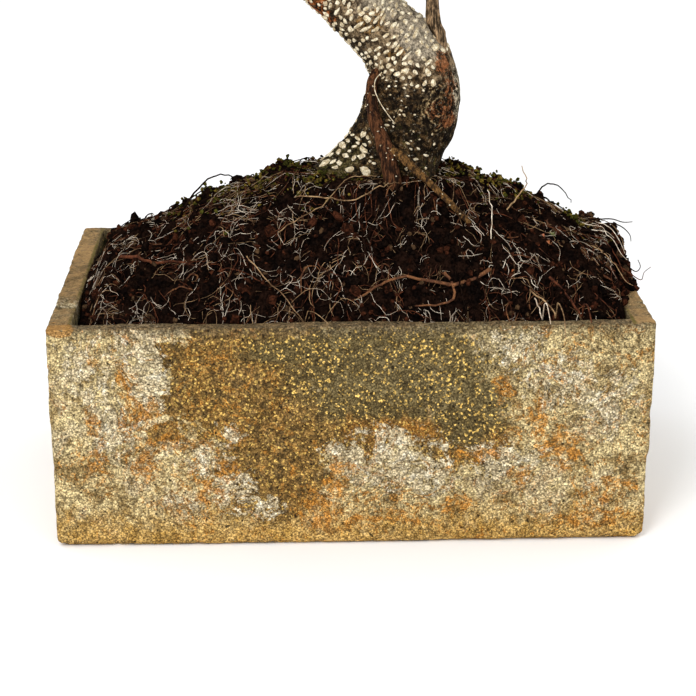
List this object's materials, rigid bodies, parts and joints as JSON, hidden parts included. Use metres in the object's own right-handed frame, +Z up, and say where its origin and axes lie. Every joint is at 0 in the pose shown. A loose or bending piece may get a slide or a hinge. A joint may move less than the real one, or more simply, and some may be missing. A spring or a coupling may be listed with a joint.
{
  "type": "potted ficus bonsai",
  "caption": "Small S-trunked ficus tree with a root flare, an aerial root and separate pads of leaves, growing from a mound of soil in a plain rectangular stoneware pot.",
  "frame": {"origin": "middle of the pot's flat underside", "axes": "+Z up, +X along the pot's length to the right as seen from its front, +Y towards its back"},
  "size_m": [0.412, 0.2989, 0.6069],
  "materials": {
    "stoneware": "coarse unglazed stoneware, mottled beige grey, ochre and rust, with pale crusts",
    "soil": "dark crumbly peat matted with fine roots",
    "bark": "grey brown bark with raised pale lenticels",
    "root": "reddish brown fibrous root",
    "foliage": "smooth dark green leaves"
  },
  "bodies": {
    "root": {"pot": "stoneware", "soil": "soil", "trunk": "bark", "aerial_root": "root", "ground_root": "root", "side_stem": "bark", "bough_left": "bark", "bough_back": "bark", "bough_front_left": "bark", "bough_right": "bark", "bough_back_right": "bark", "bough_front_right": "bark", "bough_left_high": "bark", "foliage_left": "foliage", "foliage_back": "foliage", "foliage_front_left": "foliage", "foliage_right": "foliage", "foliage_back_right": "foliage", "foliage_front_right": "foliage", "foliage_left_high": "foliage", "foliage_side_stem": "foliage", "foliage_trunk": "foliage"}
  },
  "joints": []
}
